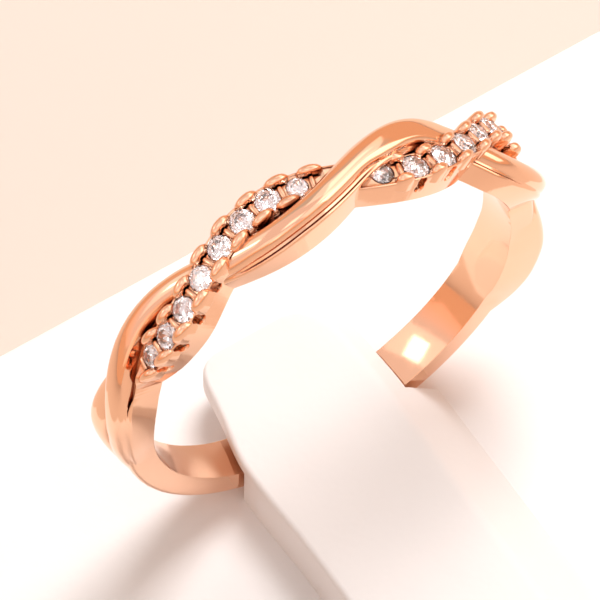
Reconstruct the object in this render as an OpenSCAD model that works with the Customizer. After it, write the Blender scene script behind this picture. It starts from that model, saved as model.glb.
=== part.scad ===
// Twisted eternity ring standing upright on a plain white display stand.
// Millimetres, +Z up, +Y away from the viewer. The origin is the middle of the
// stand's underside. The ring's axis lies along Y.

/* [Ring] */
// Inner diameter of the ring, a finger size
inner_d = 17; // [15:0.1:20]
// Thickness of the plain shank
shank_t = 1.3; // [1:0.01:1.4]
// Width of the plain shank
shank_w = 2; // [1.6:0.01:2.1]
// How much narrower the shank's back edge is made low on the left
left_trim = 0.24; // [0:0.01:0.3]

/* [Twist] */
// Angle round the ring from one crossing of the strands to the next
cross_pitch = 37; // [35:0.5:38]
// How far the middle crossing is turned away from the top
twist_turn = 5.9; // [-15:0.1:15]
// Angle by which the last crossing on the right comes later
right_lag = 3; // [0:0.5:5]
// Sideways swing of each strand's middle line
swing = 0.75; // [0.7:0.01:0.85]
// Sideways swing in the last lobe on the right, where the strands part more widely
right_swing = 1; // [0.75:0.01:1.05]
// Share of the swing that is left in the last lobe of the smooth strand on the left
left_end = 0.75; // [0.4:0.05:0.8]
// The same for the stone strand, behind it
left_back = 0.5; // [0.3:0.05:0.8]
// The same for both strands on the right
right_end = 0.6; // [0.4:0.05:0.8]
// Angle by which the strands sink into the shank earlier on the left
left_early = 11; // [0:0.5:12]
// Half width of a strand at its foot
strand_half = 0.68; // [0.6:0.01:0.7]
// Height of a strand's crown above the shank
crown_h = 0.61; // [0.5:0.01:0.7]
// How far a strand rises where it passes over and sinks where it passes under
rise = 0.26; // [0.25:0.01:0.35]
// How much narrower the stone strand is where it crosses over on the left
left_waist = 0.1; // [0:0.01:0.12]
// How far a strand's foot lies inside its wall in the last lobes on the left
left_tilt = 0.14; // [0:0.01:0.2]
// The same in the third lobe on the right, where the walls lean out more
right_tilt = 0.33; // [0:0.01:0.4]
// Extra height of the smooth strand beside the middle crossing and of the other in the outer lobes
lobe_lift = 0.15; // [0:0.01:0.18]
// Extra height of the crown towards the ends of the twist
end_lift = 0.05; // [0:0.01:0.1]
// Height of the domed top above the strand's flat side
dome_h = 0.45; // [0.3:0.01:0.5]

/* [Stones] */
// Stones in each of the two rows
stone_count = 8; // [6:1:8]
// How far the stone bed lies below a strand's crown
bed_drop = 0.42; // [0.35:0.01:0.5]
// Height of a stone's table above its girdle
stone_crown = 0.24; // [0.15:0.01:0.3]
// Depth of a stone's point below its girdle
stone_depth = 0.5; // [0.4:0.01:0.6]
// Gap all round between a stone and its seat
seat_gap = 0.03; // [0.02:0.01:0.05]
// Radius of a claw's rounded tip
claw_r = 0.18; // [0.13:0.01:0.2]
// Length of a claw along the strand, as a share of its width
claw_long = 2.7; // [1.6:0.05:2.8]
// Sideways distance of the claws from the strand's middle line
claw_side = 0.5; // [0.42:0.01:0.52]
// Radius of the round-footed notch in the strand's sides under each stone
notch_r = 0.21; // [0.14:0.01:0.24]
// Depth of the middle of the notch's foot below the stone's girdle
notch_drop = 0.52; // [0.3:0.01:0.6]

/* [Display stand] */
// Width of the stand's base, left to right
base_w = 46; // [36:1:60]
// Depth of the stand's base, front to back
base_d = 25; // [22:1:40]
// Height of the stand's base
base_h = 8; // [6:0.5:16]
// Rounding of the base's edges
base_round = 1.2; // [0.5:0.1:2]
// How far the ring plane lies behind the base's middle
ring_back = 2; // [0:0.5:4]
// How deep the ring sits in the base's groove
ring_sink = 0.5; // [0.3:0.01:0.6]
// Height of the tongue's top above the base
tongue_h = 2.75; // [1.9:0.05:2.8]
// How far the tongue's free end reaches behind the ring plane
tongue_reach = 4; // [3:0.1:5]
// Width left clear for the ring beside the tongue's root and in the groove
ring_slot = 2.4; // [2.2:0.1:3]

/* [Hidden] */

inner_r = inner_d / 2;
outer_r = inner_r + shank_t;
ring_z = base_h + outer_r - ring_sink;
twist_end = 3 * cross_pitch + 22;     // where both strands have sunk into the shank
fade_from = 2 * cross_pitch + 24;     // beyond this the strands sink into the shank
foot_r = inner_r - 0.2;               // strands start inside the bore and are cut back
sweep_step = 3;                       // degrees between two sections of a sweep
steps = floor(twist_end / sweep_step);

// The two rows of stones, columns: side of the twist, first stone's angle from
// the middle crossing, angle from stone to stone, girdle radius
STONE_ROWS = [
  [-1, 11.5, 7.3, 0.51],
  [1, 7.6, 8.35, 0.55]
];

ROSE = [0.93, 0.62, 0.47];
CLEAR = [0.93, 0.93, 0.97];
WHITE = [0.96, 0.95, 0.94];

// Smooth step from 0 to 1
function ease(t) = let (c = max(0, min(1, t))) c * c * (3 - 2 * c);

// How much sooner a strand ends on the left; side is 1 for the smooth strand, -1 for the other
function early(a, side) = a > 0 ? 0 : side > 0 ? left_early : left_early + 4;

// Share of a strand's height that is left at an angle from the middle crossing
function fade(a, side) = 1 - ease((abs(a) + early(a, side) - fade_from) / (twist_end - fade_from));

// Share of the sideways swing at an angle: more in the third lobe on the right, less in the last
// lobes, and none where the strands have sunk into the shank
function sway(a, side) =
  let (rest = a > 0 ? right_end : side > 0 ? left_end : left_back)
  (1 + (right_swing / swing - 1) * ease((a - cross_pitch + 8) / 18))
  * (1 - (1 - rest) * ease((abs(a) - 1.7 * cross_pitch) / (0.8 * cross_pitch)))
  * (1 - ease((abs(a) + early(a, side) - 2.8 * cross_pitch) / 30));

// Angle that the twist has turned to; beyond the middle of the last lobes it turns more slowly
function turned(a) =
  let (b = a - right_lag * ease((a - cross_pitch - 7) / 26))
  b - sign(a) * 0.65 * max(0, abs(b) - 2.5 * cross_pitch);

// 1 where the stone strand crosses over on the left, 0 away from it
function waist(a, side) = side > 0 ? 0 : ease(1 - abs(a + cross_pitch + 2) / 14);

// Sideways place of a strand's middle line
function mid_y(a, side) =
  side * swing * sway(a, side) * sin(180 * turned(a) / cross_pitch) + 0.9 * left_waist * waist(a, side);

// Radius of a strand's crown, highest where it passes over the other
function crown_r(a, side) =
  let (
    c = side * cos(180 * turned(a) / cross_pitch),
    lobe = pow(sin(180 * turned(a) / cross_pitch), 2) * (abs(a) < cross_pitch ? side : -side),
    lift = lobe_lift * lobe + end_lift * ease((abs(a) - cross_pitch) / cross_pitch)
  )
  outer_r - 0.06 * (1 - fade(a, side)) + fade(a, side) * (crown_h + lift + rise * (c - 0.4 * c * c));

// Half width of a strand, a little more at the crossings
function half_w(a, side) = strand_half + 0.04 * cos(360 * a / cross_pitch) - left_waist * waist(a, side);

// How far a strand's foot lies inside its wall at an angle
function tilt(a) = a > 0
  ? right_tilt * (ease((a - cross_pitch - 3) / 14) - 0.4 * ease((a - 2 * cross_pitch + 4) / 15))
  : left_tilt * ease((-a - 2 * cross_pitch + 2) / 8);

// A point of the ring from its angle, sideways place and radius
function ring_point(a, y, r) = [
  r * sin(a + twist_turn), y, r * cos(a + twist_turn)
];

// Radius of the stone bed
function bed_r(a) = crown_r(a, -1) - bed_drop;

// Angle where a row of stones ends; beyond it the stone strand is plain
function row_end(a) =
  let (row = STONE_ROWS[a < 0 ? 0 : 1]) row[1] + (stone_count - 1) * row[2] + 3.6;

// Section of a strand as [sideways, radius]: two flat sides and an arched top
function arched(half, tilt, foot, wall_r, top_r) = [
  [tilt - half, foot],
  [-half + 0.06, wall_r],
  for (t = [150 : -30 : 30])
    [(half - 0.08) * cos(t), wall_r + (top_r - wall_r) * sin(t)],
  [half - 0.06, wall_r],
  [half - tilt, foot]
];

function smooth_section(a) =
  let (top = crown_r(a, 1))
  [for (p = arched(half_w(a, 1), tilt(a), foot_r, top - dome_h * (0.4 + 0.6 * fade(a, 1)), top))
    ring_point(a, mid_y(a, 1) + p[0], p[1])];

function stone_section(a) =
  let (
    plain = ease((abs(a) - row_end(a)) / 6),
    top = crown_r(a, -1) - (1 - plain) * bed_drop,
    wall = top - 0.1 - plain * (dome_h - 0.1) * (0.4 + 0.6 * fade(a, -1))
  )
  [for (p = arched(half_w(a, -1), tilt(a), foot_r - 0.1, wall, top))
    ring_point(a, mid_y(a, -1) + p[0], p[1])];

// Section of the shank; between the strands it goes on as a narrow low core
function shank_section(a) =
  let (
    open = ease((abs(a) - (a > 0 ? 58 : 76)) / 16),
    half = 0.5 + open * (shank_w / 2 - 0.5),
    back = half - (a > 0 ? 0 : left_trim * ease((-a - 80) / 20) * ease((180 + a) / 30)),
    top = outer_r - (1 - open) * 0.11
  )
  [for (p = [
    [-half, foot_r - 0.2], [-half, top - 0.28], [-half + 0.1, top - 0.09], [-half + 0.3, top],
    [back - 0.3, top], [back - 0.1, top - 0.09], [back, top - 0.28], [back, foot_r - 0.2]
  ]) ring_point(a, p[0], p[1])];

// Solid through a list of sections with the same number of points
module sweep(sections, closed = false) {
  n = len(sections);
  m = len(sections[0]);
  spans = closed ? n : n - 1;
  polyhedron(
    points = [for (s = sections) for (p = s) p],
    faces = [
      for (i = [0 : spans - 1]) for (j = [0 : m - 1])
        [i * m + j, i * m + (j + 1) % m, ((i + 1) % n) * m + (j + 1) % m],
      for (i = [0 : spans - 1]) for (j = [0 : m - 1])
        [i * m + j, ((i + 1) % n) * m + (j + 1) % m, ((i + 1) % n) * m + j],
      if (!closed) [for (j = [m - 1 : -1 : 0]) j],
      if (!closed) [for (j = [0 : m - 1]) (n - 1) * m + j]
    ]
  );
}

// Angle between the stone strand's middle line and the ring's plane
function lean(a) =
  atan(-swing * sway(a, -1) * 180 / cross_pitch * cos(180 * turned(a) / cross_pitch) / bed_r(a));

// Moves children from the origin onto the stone bed, with +X along the strand and +Z outward
module on_bed(a) {
  translate(ring_point(a, mid_y(a, -1), bed_r(a))) rotate([0, a + twist_turn, lean(a)]) children();
}

// Angle of a stone, or of the claws half a pitch away from it
function stone_angle(row, i) = row[0] * (row[1] + i * row[2]);

// Radius of one stone; the outermost stones of a row are a little smaller
function stone_r(row, i) = row[3] - (i == 0 ? 0.09 : i == stone_count - 1 ? 0.05 : 0);

module smooth_strand() {
  sweep([for (i = [-steps : steps]) smooth_section(i * sweep_step)]);
}

module stone_strand() {
  sweep([for (i = [-steps : steps]) stone_section((i + 0.219) * sweep_step)]);
}

module shank() {
  sweep([for (i = [0 : 360 / sweep_step - 1]) shank_section((i + 0.567) * sweep_step - 180)], true);
}

// Claw between two stones: one long rounded post
module claw(a, side) {
  on_bed(a) hull() for (foot = [0, 1])
    translate([0, side * (claw_side - 0.06 * foot), 0.2 - 0.48 * foot])
      scale([claw_long, 1, 1]) sphere(r = claw_r, $fn = 10);
}

// Angles half a pitch from the stones, between the crossings
function claw_angles(row) = [
  for (i = [0 : stone_count]) let (a = stone_angle(row, i - 0.5))
    if (abs(a) > 6 && abs(a) < row_end(a) + 1) a
];

module claws() {
  for (row = STONE_ROWS) for (a = claw_angles(row)) for (side = [-1, 1]) claw(a, side);
}

// Notch through both sides of the strand under a stone
module notch(row, i) {
  on_bed(stone_angle(row, i)) hull() for (z = [-0.16, -notch_drop])
    translate([0, 0, z]) rotate([90, 7.4, 0]) cylinder(r = notch_r, h = 1.7, center = true, $fn = 10);
}

// Seat for one stone, open above
module seat(row, i) {
  r = stone_r(row, i) + seat_gap;
  on_bed(stone_angle(row, i)) rotate(12.1) rotate_extrude($fn = 20)
    polygon([[0, -0.04 - stone_depth], [0.1, -0.04 - stone_depth], [r, -0.04], [r, 1.5], [0, 1.5]]);
}

module ring_band() {
  color(ROSE) translate([0, ring_back, ring_z]) difference() {
    union() {
      shank();
      smooth_strand();
      difference() {
        union() {
          stone_strand();
          claws();
        }
        for (row = STONE_ROWS) for (i = [1 : stone_count - 1]) notch(row, i);
      }
    }
    for (row = STONE_ROWS) for (i = [0 : stone_count - 1]) seat(row, i);
    rotate([90, 0.69, 0]) cylinder(r = inner_r, h = 6, center = true, $fn = 180);
  }
}

// A round brilliant: eight-sided table, crown and pavilion facets
module stone(k) {
  row = STONE_ROWS[floor(k / stone_count)];
  i = k % stone_count;
  a = stone_angle(row, i);
  r = stone_r(row, i);
  color(CLEAR) translate([0, ring_back, ring_z]) on_bed(a) hull() {
    translate([0, 0, stone_crown - 0.01]) cylinder(r = 0.58 * r, h = 0.01, $fn = 8);
    cylinder(r = r, h = 0.02, $fn = 16);
    translate([0, 0, -stone_depth + 0.08]) cylinder(r = 0.02, h = 0.01, $fn = 8);
  }
}

// Rectangle from -w/2 to w/2 and 0 to h whose two upper corners are rounded
module arch_plate(w, h, r) {
  translate([-w / 2, 0]) square([w, h - r]);
  translate([-w / 2 + r, 0]) square([w - 2 * r, h]);
  for (s = [-1, 1]) translate([s * (w / 2 - r), h - r]) circle(r = r, $fn = 48);
}

module display_base() {
  color(WHITE) difference() {
    intersection() {
      translate([0, base_d / 2, 0]) rotate([90, 0, 0])
        linear_extrude(base_d) arch_plate(base_w, base_h, base_round);
      translate([-base_w / 2, 0, 0]) rotate([90, 0, 90])
        linear_extrude(base_w) arch_plate(base_d, base_h, base_round);
    }
    translate([0, ring_back, ring_z]) rotate([90, 0, 0])
      cylinder(r = outer_r + 0.1, h = ring_slot, center = true, $fn = 180);
  }
}

module display_tongue() {
  front = ring_back + base_d / 2;
  clear_r = inner_r - 0.2;
  color(WHITE) translate([0, ring_back, base_h]) difference() {
    intersection() {
      translate([0, tongue_reach, 0]) rotate([90, 0, 0]) linear_extrude(front + tongue_reach)
        polygon([[-4.34, 0], [-4.34, tongue_h - 0.25], [-4.27, tongue_h - 0.08], [-4.1, tongue_h],
          [2.5, tongue_h], [2.9, tongue_h - 0.15], [5.4, 0]]);
      linear_extrude(tongue_h) polygon([[-4.12, -front + base_round], [6, -front + base_round],
        [6, 0], [3.5, 2.2], [1.8, tongue_reach - 0.4], [0, tongue_reach],
        [-2.4, tongue_reach - 0.1], [-3.2, tongue_reach - 0.4], [-3.6, tongue_reach - 1],
        [-3.7, tongue_reach - 1.4], [-3.86, 1.2], [-4.06, 0.3], [-4.4, -0.9], [-4.4, -1.8],
        [-4.12, -3.2]]);
    }
    translate([0, (tongue_reach + 1 - ring_slot / 2) / 2, ring_z - base_h]) rotate([90, 0, 0])
      difference() {
        cylinder(r = outer_r + 3, h = tongue_reach + 1 + ring_slot / 2, center = true);
        cylinder(r = clear_r, h = tongue_reach + 3 + ring_slot / 2, center = true, $fn = 180);
      }
  }
}

ring_band();
display_base();
display_tongue();
stone(0);  // stone_01
stone(1);  // stone_02
stone(2);  // stone_03
stone(3);  // stone_04
stone(4);  // stone_05
stone(5);  // stone_06
stone(6);  // stone_07
stone(7);  // stone_08
stone(8);  // stone_09
stone(9);  // stone_10
stone(10);  // stone_11
stone(11);  // stone_12
stone(12);  // stone_13
stone(13);  // stone_14
stone(14);  // stone_15
stone(15);  // stone_16
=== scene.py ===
"""Looks of the twisted eternity ring on its display stand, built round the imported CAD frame.

Shapes are worked out in millimetres in the row's frame and scaled to metres when a piece is made.
An angle a goes round the ring in degrees, from the middle crossing to the right.
The smooth strand has side 1 and the strand with the stones side -1. The ring's near face is at -Y.
"""
import math
import random

import bmesh
import bpy
from mathutils import Matrix, Vector


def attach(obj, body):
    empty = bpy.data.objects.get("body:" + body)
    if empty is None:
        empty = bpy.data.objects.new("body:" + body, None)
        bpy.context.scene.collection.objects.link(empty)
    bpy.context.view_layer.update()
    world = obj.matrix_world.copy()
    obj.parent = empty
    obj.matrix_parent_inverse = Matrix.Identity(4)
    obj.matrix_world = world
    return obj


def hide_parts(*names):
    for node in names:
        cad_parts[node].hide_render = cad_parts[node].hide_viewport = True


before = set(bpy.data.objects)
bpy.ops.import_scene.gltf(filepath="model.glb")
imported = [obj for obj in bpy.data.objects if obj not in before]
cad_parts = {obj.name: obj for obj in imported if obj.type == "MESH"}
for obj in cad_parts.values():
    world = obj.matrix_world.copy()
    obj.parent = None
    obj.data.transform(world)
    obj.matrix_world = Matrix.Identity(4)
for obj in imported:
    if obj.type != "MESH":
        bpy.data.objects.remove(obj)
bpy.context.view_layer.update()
MM = 0.001

# Sizes, as in the part's source
INNER_R = 8.5
SHANK_T = 1.3
SHANK_W = 2.0
PITCH = 37.0
TURN = 5.9
RIGHT_LAG = 3.0
SWING = 0.75
RIGHT_SWING = 1.0
LEFT_END = 0.75
LEFT_BACK = 0.5
LEFT_EARLY = 11.0
LEFT_TRIM = 0.24
RIGHT_END = 0.6
STRAND_HALF = 0.68
CROWN_H = 0.61
RISE = 0.26
LEFT_WAIST = 0.1
LEFT_TILT = 0.14
RIGHT_TILT = 0.33
LOBE_LIFT = 0.15
END_LIFT = 0.05
DOME_H = 0.45
BED_DROP = 0.42
STONE_DEPTH = 0.5
SEAT_GAP = 0.03
NOTCH_R = 0.21
NOTCH_DROP = 0.52
STONE_COUNT = 8
BASE_W, BASE_D, BASE_H, BASE_ROUND = 46.0, 25.0, 8.0, 1.2
RING_BACK = 2.0
RING_SINK = 0.5
TONGUE_H = 2.75
TONGUE_REACH = 4.0
RING_SLOT = 2.4

OUTER_R = INNER_R + SHANK_T
RING_Z = BASE_H + OUTER_R - RING_SINK
TWIST_END = 3 * PITCH + 22
FADE_FROM = 2 * PITCH + 24
CENTRE = Vector((0, RING_BACK, RING_Z))
RING_AXIS = Matrix.Translation(CENTRE) @ Matrix.Rotation(math.pi / 2, 4, "X")

# Rows of stones: side of the ring, first stone's angle, angle from one to the next, girdle radius
STONE_ROWS = ((-1, 11.5, 7.3, 0.51), (1, 7.6, 8.35, 0.55))

# Details, most of them only in the looks. The metal's sections start inside the bore, which is cut
# last. Its rounded wall is BORE_ROUND wider at 1 mm from the middle and BORE_END at its ends
START_R = INNER_R - 0.2
BAND_STEP = 0.75
BORE_ROUND = 0.05
BORE_END = 0.13

# Smooth strand's near wall, wider beside the right row, with a narrow strip and a crease on top
NEAR_EXTRA = 0.17
LEDGE_DROP = 0.5
STRIP_W = 0.09
STRIP_DROP = 0.2
STRIP_RISE = 0.14
# Width in from the wall, depth under the dome's foot
CREASE = ((0.13, 0.085), (0.17, 0.13), (0.165, 0.06))

# Rim beside the stones: width in from the wall, height over the bed
RIM = ((0, -0.06), (0.01, 0.02), (0.035, 0.06), (0.07, 0.075),
       (0.11, 0.06), (0.14, 0.01), (0.2, 0))
DOME_INSET = 0.02
DOME_POINTS = (6, 17, 29, 42, 54, 66, 78, 90)

# Core between the strands, wider at the right lobe, and the shank's rounded edge
CORE_HALF = 0.5
CORE_EXTRA = 0.24
CORE_LOW = 0.11
RIGHT_LOBE = 58
LEFT_OPEN = 76
EDGE_W, EDGE_H, EDGE_RISE = 0.34, 0.28, 0.26

# Gap between the strands in front of the left lobe. Left of these angles the last far claw is left
# off and the far notches stay closed, because both would break into the gap
GAP_FROM, GAP_STEPS = -59.5, 23
GAP_CLAW, GAP_NOTCH = -62, -52

# Claws, shorter in the right row, and the low bridges and short grooves between them
CLAW_SIDE = 0.52
CLAW_LONG, RIGHT_CLAW_LONG = 0.55, 0.42
CLAW_HALF = 0.23
CLAW_TOP, CLAW_FOOT = 0.42, -0.4
BRIDGE_LONG, BRIDGE_HALF = 0.12, 0.4
BRIDGE_TOP, BRIDGE_FOOT, BRIDGE_CAP = 0.16, -0.3, 0.12
GROOVE_SIDE = 0.3
# Place across, height of the groove's section; then place along it, share of its width
GROOVE = ((-0.045, 0.5), (-0.04, 0.1), (-0.02, -0.14), (0.02, -0.14), (0.04, 0.1), (0.045, 0.5))
GROOVE_ENDS = ((-0.4, 0.9), (0, 1), (0.4, 0.9))
# Place along the strand, height of the notch's sides; then distance from the middle, scale there
NOTCH_SIDES = ((0.17, -0.3), (0.2, -0.1), (0.12, 0.02), (-0.12, 0.02), (-0.2, -0.1), (-0.17, -0.3))
NOTCH_MOUTH = ((0.9, 1.25), (0.62, 1.06), (0.5, 0.95))
# Share of a stone's radius that the claws leave open, and how far the seat's room goes up
SEAT_LAP, SEAT_ROOM = 0.74, 1.2

# Stand; the tongue's straight part ends at TONGUE_END, and it stays TONGUE_GAP clear of the bore
TONGUE_LEFT, TONGUE_EDGE = 4.12, 0.25
TONGUE_SHOULDER, TONGUE_ROUND = 2.3, 0.9
TONGUE_GAP = 0.2
TONGUE_END = 3.6
BASE_CORNER, BASE_FOOT = 1.4, 0.4


def ease(t):
    c = max(0.0, min(1.0, t))
    return c * c * (3 - 2 * c)


def cosd(a):
    return math.cos(math.radians(a))


def sind(a):
    return math.sin(math.radians(a))


def blend(p, q, k):
    """Point a share k of the way from p to q."""
    return tuple(u + (v - u) * k for u, v in zip(p, q))


# The twist's course
def early(a, side):
    """Angle by which a strand's twist ends sooner at the left."""
    return 0 if a > 0 else LEFT_EARLY if side > 0 else LEFT_EARLY + 4


def fade(a, side):
    """1 over the twist, 0 on the plain shank."""
    return 1 - ease((abs(a) + early(a, side) - FADE_FROM) / (TWIST_END - FADE_FROM))


def sway(a, side):
    """Share of the swing from side to side."""
    rest = RIGHT_END if a > 0 else LEFT_END if side > 0 else LEFT_BACK
    wide = 1 + (RIGHT_SWING / SWING - 1) * ease((a - PITCH + 8) / 18)
    last = 1 - (1 - rest) * ease((abs(a) - 1.7 * PITCH) / (0.8 * PITCH))
    return wide * last * (1 - ease((abs(a) + early(a, side) - 2.8 * PITCH) / 30))


def turned(a):
    """Angle along the twist, which lags at the right and slows down at both ends."""
    b = a - RIGHT_LAG * ease((a - PITCH - 7) / 26)
    return b - math.copysign(0.65 * max(0.0, abs(b) - 2.5 * PITCH), a)


def phase(a):
    """Angle of the strands round each other, half a turn from crossing to crossing."""
    return 180 * turned(a) / PITCH


def waist(a, side):
    """1 where the stone strand is narrow, at the left crossing."""
    return 0 if side > 0 else ease(1 - abs(a + PITCH + 2) / 14)


def mid_y(a, side):
    return side * SWING * sway(a, side) * sind(phase(a)) + 0.9 * LEFT_WAIST * waist(a, side)


def crown_r(a, side):
    c = side * cosd(phase(a))
    lobe = sind(phase(a)) ** 2 * (side if abs(a) < PITCH else -side)
    lift = LOBE_LIFT * lobe + END_LIFT * ease((abs(a) - PITCH) / PITCH)
    high = CROWN_H + lift + RISE * (c - 0.4 * c * c)
    return OUTER_R - 0.06 * (1 - fade(a, side)) + fade(a, side) * high


def half_w(a, side):
    return STRAND_HALF + 0.04 * cosd(360 * a / PITCH) - LEFT_WAIST * waist(a, side)


def tilt(a):
    """How far a strand's wall leans in from its ledge to the bore."""
    if a > 0:
        return RIGHT_TILT * (ease((a - PITCH - 3) / 14) - 0.4 * ease((a - 2 * PITCH + 4) / 15))
    return LEFT_TILT * ease((-a - 2 * PITCH + 2) / 8)


def dome_share(a, side):
    """Share of the dome's full height, which is less on the plain shank."""
    return 0.4 + 0.6 * fade(a, side)


def bed_r(a):
    return crown_r(a, -1) - BED_DROP


def lean(a):
    """Angle between the stone strand and the ring's own direction."""
    swing = -SWING * sway(a, -1) * math.pi / PITCH * cosd(phase(a))
    return math.atan(swing / (math.radians(1) * bed_r(a)))


def ring_point(a, y, r):
    return CENTRE + Vector((r * sind(a + TURN), y, r * cosd(a + TURN)))


def on_bed(a, x=0, y=0):
    """Matrix to the row's frame from a place on the bed, +X along the strand and +Z outward."""
    turn = Matrix.Rotation(math.radians(a + TURN), 4, "Y") @ Matrix.Rotation(lean(a), 4, "Z")
    place = Matrix.Translation(ring_point(a, mid_y(a, -1), bed_r(a)))
    return place @ turn @ Matrix.Translation((x, y, 0))


def row_end(a):
    """Angle at which the row of stones on that side of the ring ends."""
    row = STONE_ROWS[0 if a < 0 else 1]
    return row[1] + (STONE_COUNT - 1) * row[2] + 3.6


def stone_angle(row, i):
    return row[0] * (row[1] + i * row[2])


def stone_r(row, i):
    return row[3] - (0.09 if i == 0 else 0.05 if i == STONE_COUNT - 1 else 0)


# Mesh helpers
def link_mesh(name, bm):
    """Object of a name out of a mesh in the making, which is freed."""
    me = bpy.data.meshes.new(name)
    bm.to_mesh(me)
    bm.free()
    ob = bpy.data.objects.new(name, me)
    bpy.context.scene.collection.objects.link(ob)
    return ob


def mesh_object(name, verts, faces):
    me = bpy.data.meshes.new(name)
    me.from_pydata([tuple(v) for v in verts], [], faces)
    me.validate()
    bm = bmesh.new()
    bm.from_mesh(me)
    bpy.data.meshes.remove(me)
    bmesh.ops.recalc_face_normals(bm, faces=bm.faces)
    return link_mesh(name, bm)


def rings_of_faces(rings, around, closed=False):
    """Four-sided faces between rings of the same number of points, each numbered after the last."""
    faces = []
    for k in range(rings if closed else rings - 1):
        this, after = k * around, (k + 1) % rings * around
        for j in range(around):
            beside = (j + 1) % around
            faces.append((this + j, this + beside, after + beside, after + j))
    return faces


def sweep(name, sections, closed=False):
    """Closed solid through sections that all have the same number of points."""
    n, m = len(sections), len(sections[0])
    faces = rings_of_faces(n, m, closed)
    if not closed:
        faces.append(tuple(range(m - 1, -1, -1)))
        faces.append(tuple((n - 1) * m + j for j in range(m)))
    return mesh_object(name, [p for s in sections for p in s], faces)


def apply_modifiers(ob):
    deps = bpy.context.evaluated_depsgraph_get()
    deps.update()
    me = bpy.data.meshes.new_from_object(ob.evaluated_get(deps))
    old = ob.data
    ob.modifiers.clear()
    ob.data = me
    bpy.data.meshes.remove(old)


def boolean(target, tools, how, solver="MANIFOLD"):
    """Boolean of one object with each of a list of tools; the tools are removed."""
    for tool in tools:
        mod = target.modifiers.new("b", "BOOLEAN")
        mod.operation = how
        mod.solver = solver
        mod.object = tool
    apply_modifiers(target)
    for tool in tools:
        bpy.data.objects.remove(tool, do_unlink=True)


def join(name, objects):
    """One object out of many that don't meet."""
    bm = bmesh.new()
    for ob in objects:
        bm.from_mesh(ob.data)
        bpy.data.objects.remove(ob, do_unlink=True)
    return link_mesh(name, bm)


def to_metres(ob, sharp):
    """Scales a piece's mesh to metres and shades it smooth, sharp over an angle in degrees."""
    bm = bmesh.new()
    bm.from_mesh(ob.data)
    bmesh.ops.triangulate(bm, faces=[f for f in bm.faces if len(f.verts) > 4])
    bm.to_mesh(ob.data)
    bm.free()
    ob.data.transform(Matrix.Scale(MM, 4))
    ob.data.shade_smooth()
    ob.data.set_sharp_from_angle(angle=math.radians(sharp))
    mod = ob.modifiers.new("weighted", "WEIGHTED_NORMAL")
    mod.keep_sharp = True
    mod.weight = 60
    apply_modifiers(ob)


def circle(rx, ry, z, around):
    """Points of an ellipse about +Z."""
    turns = (360 * j / around for j in range(around))
    return [(rx * cosd(b), ry * sind(b), z) for b in turns]


def capsule(place, rx, ry, top, foot, cap, rings=7, around=20):
    """Rounded post: an ellipsoid's top, cap high, over a straight foot."""
    verts = []
    for k in range(rings):
        t = 90 * k / (rings - 1)
        rad = cosd(t * 0.96) ** 0.8
        verts += circle(rx * rad, ry * rad, top - cap + cap * sind(t), around)
    low = len(verts)
    verts += circle(rx * 1.02, ry * 1.02, foot, around)
    faces = rings_of_faces(rings, around)
    faces.append(tuple((rings - 1) * around + j for j in range(around)))
    for j in range(around):
        beside = (j + 1) % around
        faces.append((low + j, low + beside, beside, j))
    faces.append(tuple(low + j for j in reversed(range(around))))
    return mesh_object("post", [place @ Vector(v) for v in verts], faces)


def lathe(place, profile, around):
    """Closed solid of revolution about +Z from (radius, height) points that start and end on it."""
    inner = profile[1:-1]
    verts = [v for r, z in inner for v in circle(r, r, z, around)]
    first, last = len(verts), len(verts) + 1
    verts += [(0, 0, profile[0][1]), (0, 0, profile[-1][1])]
    faces = rings_of_faces(len(inner), around)
    end = (len(inner) - 1) * around
    for j in range(around):
        beside = (j + 1) % around
        faces.append((first, beside, j))
        faces.append((last, end + j, end + beside))
    return mesh_object("turned", [place @ Vector(v) for v in verts], faces)


def ring_drum(radius, low, high):
    """Plain cylinder about the ring's axis."""
    return lathe(RING_AXIS, [(0, low), (radius, low), (radius, high), (0, high)], 360)


# The metal band
def smooth_wall(a, near):
    """Half section of the smooth strand as (u, r).

    The near side has a flat wall. From the left crossing to the middle one, and again at the right
    one, it also has a narrow rounded strip with a crease. The far side is a plain dome.
    """
    half, top = half_w(a, 1), crown_r(a, 1)
    crease = 0
    if near:
        half += NEAR_EXTRA * ease((a - 4) / 10) * (1 - ease((a - 27) / 10))
        crease = ease((a + 38) / 10) * (1 - ease((a - 1) / 8))
        crease += ease((a - 30) / 8) * (1 - ease((a - 46) / 12))
    f = dome_share(a, 1)
    ledge = top - LEDGE_DROP * f
    creased = [(half - STRIP_W * (1 - cosd(t)), ledge - (STRIP_DROP - STRIP_RISE * sind(t)) * f)
               for t in (0, 20, 45, 70, 90)]
    creased += [(half - u, ledge - low * f) for u, low in CREASE]
    plain = [(half - 0.0025 * j * j, ledge - (STRIP_DROP - 0.028 * j) * f)
             for j in range(len(creased))]
    pts = [(half - tilt(a), START_R)]
    pts += [blend(p, q, crease) for p, q in zip(plain, creased)]
    wide = half - 0.125 - 0.12 * crease
    for t in range(0, 90, 9):
        pts.append((wide * cosd(t) ** 0.86, ledge + (top - ledge) * sind(t) ** 0.9))
    pts.append((0.0, top))
    return pts


def stone_wall(a):
    """Half section of the stone strand: a bed between two rims in the rows, domed beyond them."""
    plain = ease((abs(a) - row_end(a)) / 6)
    half, top, bed = half_w(a, -1), crown_r(a, -1), bed_r(a)
    dome = DOME_H * dome_share(a, -1)
    rimmed = [(half - u, bed + z) for u, z in RIM] + [(0.25, bed + 0.01), (0.0, bed + 0.02)]
    domed = [(half, top - dome - 0.06)]
    domed += [((half - DOME_INSET) * cosd(t), top - dome + dome * sind(t)) for t in DOME_POINTS]
    return [(half - tilt(a), START_R)] + [blend(p, q, plain) for p, q in zip(rimmed, domed)]


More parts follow.
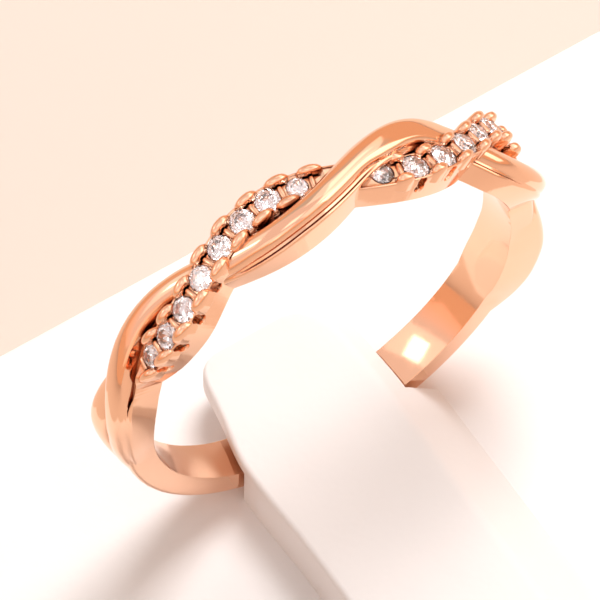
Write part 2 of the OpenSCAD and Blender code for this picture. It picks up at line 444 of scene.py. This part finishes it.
def whole(near, far, a, y):
    """Whole section of a strand at y out of its near and far half sections."""
    pts = [(-u, r) for u, r in near] + [(u, r) for u, r in reversed(far[:-1])]
    return [ring_point(a, y + u, r) for u, r in pts]


def smooth_section(a):
    return whole(smooth_wall(a, True), smooth_wall(a, False), a, mid_y(a, 1))


def stone_section(a):
    return whole(stone_wall(a), stone_wall(a), a, mid_y(a, -1))


def shank_section(a):
    """Section of the shank; between the strands it goes on as a narrow low core."""
    opened = ease((abs(a) - (RIGHT_LOBE if a > 0 else LEFT_OPEN)) / 16)
    core = CORE_HALF + CORE_EXTRA * ease(1 - abs(a - RIGHT_LOBE) / 14)
    half = core + opened * (SHANK_W / 2 - core)
    trim = 0 if a > 0 else LEFT_TRIM * ease((-a - 80) / 20) * ease((180 + a) / 30)
    back = half - trim
    top = OUTER_R - (1 - opened) * CORE_LOW
    corner = [(EDGE_W * (1 - cosd(t) ** 0.9), top - EDGE_H + EDGE_RISE * sind(t))
              for t in range(0, 91, 15)]
    pts = [(-half, START_R)] + [(-half + u, r) for u, r in corner]
    pts += [(back - u, r) for u, r in reversed(corner)] + [(back, START_R)]
    return [ring_point(a, y, r) for y, r in pts]


def claw_angles(row):
    angles = [stone_angle(row, i - 0.5) for i in range(STONE_COUNT + 1)]
    return [a for a in angles if 6 < abs(a) < row_end(a) + 1]


def claw_sides(a):
    """Sides that have a claw: both, or beside the gap the near one alone."""
    return (-1, 1) if a > GAP_CLAW else (-1,)


def claw_posts():
    """Long rounded claws on both sides between the stones, and a low bridge between each two."""
    posts = []
    for row in STONE_ROWS:
        for a in claw_angles(row):
            length = CLAW_LONG if a < 0 else RIGHT_CLAW_LONG
            for side in claw_sides(a):
                posts.append(capsule(on_bed(a, 0, side * CLAW_SIDE), length, CLAW_HALF,
                                     CLAW_TOP, CLAW_FOOT, CLAW_TOP))
            posts.append(capsule(on_bed(a), BRIDGE_LONG, BRIDGE_HALF,
                                 BRIDGE_TOP, BRIDGE_FOOT, BRIDGE_CAP))
    return posts


def seat_cutter(a, r):
    """Seat and the room above it, narrower over the girdle, where the claws lap over the stone."""
    foot = -0.04 - STONE_DEPTH
    profile = [(0, foot), (0.1, foot), (r, -0.05), (r, 0.035)]
    profile += [(SEAT_LAP * r, 0.22), (SEAT_LAP * r, SEAT_ROOM), (0, SEAT_ROOM)]
    return lathe(on_bed(a), profile, 40)


def pavilion_cutter(a, r):
    """Room under a stone, cut last, so that the core between the strands leaves it free."""
    foot = -0.03 - STONE_DEPTH
    return lathe(on_bed(a), [(0, foot), (0.1, foot), (r + 0.04, -0.03), (0, -0.02)], 36)


def notch_cutter(a):
    """Notch with a round foot through the strand under a stone, wider at its mouths."""
    outline = [(-NOTCH_R * cosd(t), -NOTCH_DROP - NOTCH_R * sind(t)) for t in range(0, 181, 15)]
    outline += NOTCH_SIDES
    place = on_bed(a)
    mid = -NOTCH_DROP / 2
    far = 1 if a > GAP_NOTCH else 0.4
    spread = [(-y, k) for y, k in NOTCH_MOUTH] + [(y * far, k) for y, k in reversed(NOTCH_MOUTH)]
    sections = []
    for y, k in spread:
        sections.append([place @ Vector((x * k, y, mid + (z - mid) * k)) for x, z in outline])
    return sweep("notch", sections)


def groove_cutter(a, side):
    """Short groove along the strand that parts a claw from the bridge."""
    sections = []
    for x, k in GROOVE_ENDS:
        place = on_bed(a, x, side * GROOVE_SIDE)
        sections.append([place @ Vector((0, y * k, z)) for y, z in GROOVE])
    return sweep("groove", sections)


def gap_cutter():
    """Deep gap between the strands, tapering to nothing at both ends."""
    sections = []
    for i in range(GAP_STEPS):
        a = GAP_FROM - i
        k = ease((-a - 58) / 7) * (1 - ease((-a - 73) / 9)) + 0.02
        y = mid_y(a, 1) - half_w(a, 1) + 0.09
        low, high = OUTER_R + 0.02, crown_r(a, 1)
        outline = ((-0.16, high), (-0.13, low + 0.1), (-0.05, low), (0.06, low),
                   (0.1, low + 0.1), (0.12, high - 0.3), (0.16, high))
        sections.append([ring_point(a, y + u * k, r) for u, r in outline])
    return sweep("gap", sections)


def bore_cutter():
    """The finger hole, its wall rounded from edge to edge."""
    wall = [(INNER_R + BORE_ROUND * (k / 5) ** 2, k / 5) for k in range(-8, 9)]
    edge = INNER_R + BORE_END
    return lathe(RING_AXIS, [(0, -3), (edge, -3)] + wall + [(edge, 3), (0, 3)], 480)


def make_band():
    n = int(TWIST_END / BAND_STEP)
    turns = range(-n, n + 1)
    smooth = sweep("smooth", [smooth_section(i * BAND_STEP) for i in turns])
    set_strand = sweep("set_strand", [stone_section((i + 0.31) * BAND_STEP) for i in turns])
    round_steps = range(int(360 / BAND_STEP))
    band = sweep("band", [shank_section((i + 0.57) * BAND_STEP - 180) for i in round_steps], True)

    posts = claw_posts()
    boolean(set_strand, [join("posts_%d" % k, posts[k::3]) for k in range(3)], "UNION")
    places = [(stone_angle(row, i), stone_r(row, i), i)
              for row in STONE_ROWS for i in range(STONE_COUNT)]
    seats = [seat_cutter(a, r + SEAT_GAP) for a, r, _ in places]
    notches = [notch_cutter(a) for a, _, i in places if i > 0]
    grooves = [groove_cutter(a, side) for row in STONE_ROWS for a in claw_angles(row)
               for side in claw_sides(a)]
    boolean(set_strand, [join("seats_a", seats[0::2]), join("seats_b", seats[1::2]),
                         join("notches", notches), join("grooves", grooves)], "DIFFERENCE")

    boolean(band, [smooth, set_strand], "UNION")
    boolean(band, [gap_cutter()], "DIFFERENCE")
    cones = [pavilion_cutter(a, r) for a, r, _ in places]
    boolean(band, [join("cones_a", cones[0::2]), join("cones_b", cones[1::2]), bore_cutter()],
            "DIFFERENCE")
    to_metres(band, 32)
    return band


# Stones
def make_stone(k):
    """Round brilliant with table, star, kite, girdle and pavilion facets."""
    row, i = STONE_ROWS[k // STONE_COUNT], k % STONE_COUNT
    r = stone_r(row, i)
    girdle, culet = 0.012, -0.84 * r
    verts = []

    def corners(n, rad, z, off):
        """Adds a ring of corners and gives the number of its first."""
        start = len(verts)
        turns = (360 * (j + off) / n for j in range(n))
        verts.extend((rad * cosd(b), rad * sind(b), z) for b in turns)
        return start

    table = corners(8, 0.55 * r, 0.34 * r, 0)
    star = corners(8, 0.78 * r, 0.22 * r, 0.5)
    upper = corners(16, r, girdle, 0)
    lower = corners(16, r, -girdle, 0)
    pavilion = corners(8, 0.45 * r, 0.55 * culet, 0.5)
    point = len(verts)
    verts.append((0, 0, culet))
    faces = [tuple(table + j for j in range(8))]
    for j in range(8):
        n = (j + 1) % 8
        here, between, there = 2 * j, 2 * j + 1, 2 * n
        faces.append((table + j, star + j, table + n))
        faces.append((table + n, star + j, upper + there, star + n))
        faces.append((star + j, upper + here, upper + between))
        faces.append((star + j, upper + between, upper + there))
        faces.append((pavilion + j, lower + between, lower + here))
        faces.append((pavilion + j, lower + there, lower + between))
        faces.append((pavilion + j, lower + there, pavilion + n, point))
    for j in range(16):
        n = (j + 1) % 16
        faces.append((upper + j, lower + j, lower + n, upper + n))
    spin = random.Random(40 + k).uniform(0, math.pi / 4)
    place = on_bed(stone_angle(row, i)) @ Matrix.Rotation(spin, 4, "Z")
    ob = mesh_object("gem_%02d" % (k + 1), [place @ Vector(v) for v in verts], faces)
    ob.data.transform(Matrix.Scale(MM, 4))
    return ob


# Stand
def rounded_block(name, lo, hi, corner, top, foot):
    """Box between two corners, its upright, top and foot edges rounded by three radii."""
    bm = bmesh.new()
    bmesh.ops.create_cube(bm, size=1)
    for v in bm.verts:
        v.co = [lo[k] if v.co[k] < 0 else hi[k] for k in range(3)]

    def bevel(keep, radius, segments):
        geom = [e for e in bm.edges if keep(*(v.co.z for v in e.verts))]
        bmesh.ops.bevel(bm, geom=geom, offset=radius, segments=segments, profile=0.5,
                        affect="EDGES")

    bevel(lambda p, q: abs(p - q) > 1, corner, 6)
    bevel(lambda p, q: abs(p - hi[2]) < 1e-4 and abs(q - hi[2]) < 1e-4, top, 8)
    bevel(lambda p, q: abs(p - lo[2]) < 1e-4 and abs(q - lo[2]) < 1e-4, foot, 3)
    return link_mesh(name, bm)


def make_base():
    lo, hi = (-BASE_W / 2, -BASE_D / 2, 0), (BASE_W / 2, BASE_D / 2, BASE_H)
    base = rounded_block("stand_base", lo, hi, BASE_CORNER, BASE_ROUND, BASE_FOOT)
    groove = ring_drum(OUTER_R + 0.1, -RING_SLOT / 2, RING_SLOT / 2)
    boolean(base, [groove], "DIFFERENCE", "EXACT")
    to_metres(base, 40)
    return base


def tongue_section(y, left, right):
    """Section of the tongue across Y, its edges rounded; left and right are shares of its width."""
    edge_x, edge_z = TONGUE_LEFT - TONGUE_EDGE, TONGUE_H - TONGUE_EDGE
    pts = [(-TONGUE_LEFT, 0.0), (-TONGUE_LEFT, 1.2)]
    for t in range(0, 91, 15):
        pts.append((-edge_x - TONGUE_EDGE * cosd(t), edge_z + TONGUE_EDGE * sind(t)))
    for x in (-2, 0, 1.5):
        pts.append((x, TONGUE_H))
    for t in range(0, 43, 7):
        pts.append((TONGUE_SHOULDER + TONGUE_ROUND * sind(t),
                    TONGUE_H - TONGUE_ROUND + TONGUE_ROUND * cosd(t)))
    pts += [(3.8, 1.7), (4.6, 0.85), (5.4, 0.0)]
    return [Vector((x * (left if x < 0 else right), y, BASE_H + z)) for x, z in pts]


def tongue_left(y):
    """Share of the tongue's left half: a bulge at the ring, then narrower towards the free end."""
    return 1 + 0.05 * ease((y + 4.5) / 4.7) - 0.157 * ease((y - 0.6) / 3.9)


def tongue_right(y):
    """Share of the tongue's right half, a little narrower towards the free end."""
    return 1 - 0.05 * ease((y - 1) / 3)


def make_tongue():
    front = -BASE_D / 2 + BASE_ROUND
    reach = RING_BACK + TONGUE_REACH - TONGUE_END
    straight = [front, front + 0.1, front + 0.3, -6, -3]
    straight += [-1.2, -0.8, -0.4, 0, 0.4, 0.9, 1.3, 1.8, 2.4, 3, TONGUE_END]
    sections = [tongue_section(y, tongue_left(y), tongue_right(y)) for y in straight]
    for t in range(10, 81, 10):
        y = TONGUE_END + reach * sind(t)
        left, right = tongue_left(y) * cosd(t) ** 0.2, tongue_right(y) * cosd(t) ** 0.55
        sections.append(tongue_section(y, left, right))
    tongue = sweep("stand_tongue", sections)

    # From the ring on, what lies outside the finger hole is cut off
    corners = [(x, y, z) for x in (-9, 9) for y in (RING_BACK - RING_SLOT / 2, 12)
               for z in (BASE_H - 1, BASE_H + 4)]
    sides = [(0, 1, 3, 2), (4, 6, 7, 5), (0, 4, 5, 1), (2, 3, 7, 6), (0, 2, 6, 4), (1, 5, 7, 3)]
    block = mesh_object("block", corners, sides)
    boolean(block, [ring_drum(INNER_R - TONGUE_GAP, -8, 30)], "DIFFERENCE", "EXACT")
    boolean(tongue, [block], "DIFFERENCE", "EXACT")
    to_metres(tongue, 35)
    return tongue


# Materials
def new_material(name):
    mat = bpy.data.materials.new(name)
    mat.use_nodes = True
    nt = mat.node_tree
    bsdf = next(n for n in nt.nodes if n.type == "BSDF_PRINCIPLED")
    return mat, nt, bsdf


def node(nt, kind, **inputs):
    n = nt.nodes.new(kind)
    for key, value in inputs.items():
        n.inputs[key.replace("_", " ")].default_value = value
    return n


def textured(nt, kind, out, **inputs):
    """Output of a texture that is fixed to the object."""
    coords = nt.nodes.new("ShaderNodeTexCoord")
    n = node(nt, kind, **inputs)
    nt.links.new(coords.outputs["Object"], n.inputs["Vector"])
    return n.outputs[out]


def ramp(nt, source, *stops):
    """Colour output of a ramp from stops of a place and a colour."""
    r = nt.nodes.new("ShaderNodeValToRGB")
    while len(r.color_ramp.elements) < len(stops):
        r.color_ramp.elements.new(0.5)
    for el, (pos, colour) in zip(r.color_ramp.elements, stops):
        el.position = pos
        el.color = (*colour, 1)
    nt.links.new(source, r.inputs["Fac"])
    return r.outputs["Color"]


def grey(v):
    return (v, v, v)


def rose_gold():
    """Polished metal with small changes of tone and gloss, and painted shade that darkens its
    hollows.
    """
    mat, nt, bsdf = new_material("rose_gold")
    cloud = textured(nt, "ShaderNodeTexNoise", "Fac", Scale=260.0, Detail=3.0, Roughness=0.5)
    gold = ramp(nt, cloud, (0.3, (0.95, 0.56, 0.37)), (0.7, (0.97, 0.6, 0.4)))
    # Painted shade: the colour turns dark brown where the AO node finds hollows and creases
    painted_hollow_shade = node(nt, "ShaderNodeAmbientOcclusion", Distance=0.0004)
    painted_hollow_shade.samples = 6
    painted_hollow_shade.only_local = True
    unshaded_share = ramp(nt, painted_hollow_shade.outputs["AO"], (0.3, grey(0)), (0.75, grey(1)))
    mix = nt.nodes.new("ShaderNodeMix")
    mix.data_type = "RGBA"
    mix.inputs["A"].default_value = (0.26, 0.105, 0.07, 1)
    nt.links.new(unshaded_share, mix.inputs["Factor"])
    nt.links.new(gold, mix.inputs["B"])
    nt.links.new(mix.outputs["Result"], bsdf.inputs["Base Color"])
    fine = textured(nt, "ShaderNodeTexNoise", "Fac", Scale=2400.0, Detail=4.0, Roughness=0.6)
    gloss = ramp(nt, fine, (0.3, grey(0.06)), (0.75, grey(0.13)))
    nt.links.new(gloss, bsdf.inputs["Roughness"])
    bump = node(nt, "ShaderNodeBump", Strength=0.05, Distance=0.00002)
    nt.links.new(fine, bump.inputs["Height"])
    bevel = node(nt, "ShaderNodeBevel", Radius=0.00004)
    bevel.samples = 4
    nt.links.new(bevel.outputs["Normal"], bump.inputs["Normal"])
    nt.links.new(bump.outputs["Normal"], bsdf.inputs["Normal"])
    bsdf.inputs["Metallic"].default_value = 1.0
    return mat


def clear_stone():
    mat, nt, bsdf = new_material("clear_stone")
    bsdf.inputs["Transmission Weight"].default_value = 0.95
    bsdf.inputs["IOR"].default_value = 2.2
    bsdf.inputs["Roughness"].default_value = 0.0
    cloud = textured(nt, "ShaderNodeTexNoise", "Fac", Scale=1500.0, Detail=1.0)
    tone = ramp(nt, cloud, (0.35, (0.93, 0.86, 0.88)), (0.65, (1, 0.99, 1)))
    nt.links.new(tone, bsdf.inputs["Base Color"])
    return mat


def white_cover(name, shade):
    """Fine-grained white cover; shade is a share of its full lightness."""
    mat, nt, bsdf = new_material(name)
    cloud = textured(nt, "ShaderNodeTexNoise", "Fac", Scale=90.0, Detail=3.0)
    dark, light = (0.86, 0.83, 0.83), (0.92, 0.89, 0.89)
    tone = ramp(nt, cloud, (0.3, [c * shade for c in dark]), (0.7, [c * shade for c in light]))
    nt.links.new(tone, bsdf.inputs["Base Color"])
    grain = textured(nt, "ShaderNodeTexVoronoi", "Distance", Scale=2600.0)
    bump = node(nt, "ShaderNodeBump", Strength=0.25, Distance=0.00003)
    nt.links.new(grain, bump.inputs["Height"])
    nt.links.new(bump.outputs["Normal"], bsdf.inputs["Normal"])
    bsdf.inputs["Roughness"].default_value = 0.55
    return mat


def dress(piece, node_name, mat):
    """Gives a piece its one material, hangs it under the root body and hides the CAD node that it
    stands for.
    """
    me = piece.data
    me.materials.clear()
    me.materials.append(mat)
    me.polygons.foreach_set("material_index", [0] * len(me.polygons))
    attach(piece, "root")
    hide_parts(node_name)


# Pieces
gems = bpy.data.collections.new("gems")
dress(make_band(), "ring_band", rose_gold())
clear = clear_stone()
for k in range(2 * STONE_COUNT):
    stone = make_stone(k)
    dress(stone, "stone_%02d" % (k + 1), clear)
    gems.objects.link(stone)
dress(make_base(), "display_base", white_cover("base_cover", 1.0))
# The tongue's cover is a darker copy of the base's: partly its own slightly darker cover, partly
# painted shade for its left wall
dress(make_tongue(), "display_tongue", white_cover("tongue_cover", 0.9))

# Floor
FLOOR_HALF = 0.6
floor_mesh = bpy.data.meshes.new("floor")
around = ((-1, -1), (1, -1), (1, 1), (-1, 1))
floor_corners = [(x * FLOOR_HALF, y * FLOOR_HALF, 0) for x, y in around]
floor_mesh.from_pydata(floor_corners, [], [(0, 1, 2, 3)])
floor = bpy.data.objects.new("floor", floor_mesh)
bpy.context.scene.collection.objects.link(floor)
floor_mat, _, floor_bsdf = new_material("floor")
floor_bsdf.inputs["Base Color"].default_value = (0.72, 0.615, 0.55, 1)
floor_bsdf.inputs["Roughness"].default_value = 0.9
floor_mesh.materials.append(floor_mat)

# Camera at the photo's view: turn, height and roll in degrees, distance from the ring's centre in
# millimetres, focal length and the centre's place off the picture's middle in pixels of the photo
AZ, EL, ROLL, DIST, FOCAL = -35.094, 59.361, 2.289, 184.794, 4614.6
OFF_X, OFF_Y = 20.58, 16.06
PHOTO_W, SENSOR_W = 600, 36
back = Vector((sind(AZ) * cosd(EL), -cosd(AZ) * cosd(EL), sind(EL)))
level = Vector((cosd(AZ), sind(AZ), 0))
upward = back.cross(level)
right = level * cosd(ROLL) + upward * sind(ROLL)
up = upward * cosd(ROLL) - level * sind(ROLL)
spot = CENTRE + back * DIST - right * (OFF_X * DIST / FOCAL) + up * (OFF_Y * DIST / FOCAL)
cam_data = bpy.data.cameras.new("camera")
cam_data.sensor_width = SENSOR_W
cam_data.lens = FOCAL / PHOTO_W * SENSOR_W
cam_data.clip_start = 0.005
cam_data.clip_end = 20
cam = bpy.data.objects.new("camera", cam_data)
cam.matrix_world = Matrix.Translation(spot * MM) @ Matrix((right, up, back)).transposed().to_4x4()
bpy.context.scene.collection.objects.link(cam)
bpy.context.scene.camera = cam

# Light
LIGHT_FAR = 0.3
GLITTER = ((-20, 74), (70, 70), (-100, 50), (-170, 62), (150, 75), (20, 52), (120, 45), (-140, 35))


def towards(az, el):
    """Direction by its turn from the back of the row, +Y, to +X, and its height over the floor."""
    return Vector((sind(az) * cosd(el), cosd(az) * cosd(el), sind(el)))


def softbox(name, az, el, wide, tall, radiance, colour=(1, 1, 1), diffuse=False, glossy=True):
    """Area light that fills an angle of wide by tall degrees as seen from the ring."""
    data = bpy.data.lights.new(name, "AREA")
    data.shape = "RECTANGLE"
    data.size = 2 * LIGHT_FAR * math.tan(math.radians(wide / 2))
    data.size_y = 2 * LIGHT_FAR * math.tan(math.radians(tall / 2))
    data.energy = radiance * math.pi * data.size * data.size_y
    data.color = colour
    ob = bpy.data.objects.new(name, data)
    ob.location = CENTRE * MM + towards(az, el) * LIGHT_FAR
    ob.rotation_euler = towards(az, el).to_track_quat("Z", "Y").to_euler()
    ob.visible_diffuse = diffuse
    ob.visible_glossy = glossy
    bpy.context.scene.collection.objects.link(ob)
    return ob


# The key casts the shadows and isn't mirrored in the metal; the next ones are only mirrored
softbox("key", 52, 58, 27, 27, 13, (1, 0.995, 0.985), diffuse=True, glossy=False)
softbox("sky", -125, 64, 140, 92, 0.3, (1, 0.6, 0.6))
softbox("left", -148, 24, 44, 26, 0.35)
softbox("left_spot", -155, 14, 12, 10, 0.7)
softbox("near_camera", -146, 66, 24, 24, 0.8)
softbox("top", 48, 62, 34, 24, 0.5)
softbox("back_left_wide", -60, 34, 44, 18, 0.35)
softbox("back_left", -62, 36, 10, 12, 2)
softbox("right", 130, 23, 32, 34, 1.2)
softbox("right_wide", 140, 38, 56, 50, 0.35)
softbox("top_right", 92, 56, 60, 26, 0.6)
# Small lights that only the stones glitter in
for k, (az, el) in enumerate(GLITTER):
    light = softbox("glitter_%d" % k, az, el, 7, 7, 20)
    light.light_linking.receiver_collection = gems


def maths(nt, kind, operation, *inputs):
    """Number from a maths node, each of whose inputs is another node's output or a plain value."""
    n = nt.nodes.new(kind)
    n.operation = operation
    for socket, value in zip(n.inputs, inputs):
        if isinstance(value, bpy.types.NodeSocket):
            nt.links.new(value, socket)
        else:
            socket.default_value = value
    return n.outputs["Value"]


def make_world():
    """Pale sky over a warm lower part, which reaches higher at the back and right."""
    world = bpy.data.worlds.new("world")
    world.use_nodes = True
    nt = world.node_tree
    background = next(n for n in nt.nodes if n.type == "BACKGROUND")
    direction = nt.nodes.new("ShaderNodeTexCoord").outputs["Generated"]
    split = nt.nodes.new("ShaderNodeSeparateXYZ")
    nt.links.new(direction, split.inputs["Vector"])
    behind = maths(nt, "ShaderNodeVectorMath", "DOT_PRODUCT", direction, (0.82, 0.57, 0))
    ahead = maths(nt, "ShaderNodeMath", "MAXIMUM", behind, 0)
    height = maths(nt, "ShaderNodeMath", "MULTIPLY_ADD", ahead, -0.5, split.outputs["Z"])
    sky = ramp(nt, height, (0.22, (0.9, 0.54, 0.35)), (0.4, (0.64, 0.61, 0.58)))
    nt.links.new(sky, background.inputs["Color"])
    background.inputs["Strength"].default_value = 1.0
    return world


bpy.context.scene.world = make_world()
bpy.context.scene.view_settings.view_transform = "Standard"
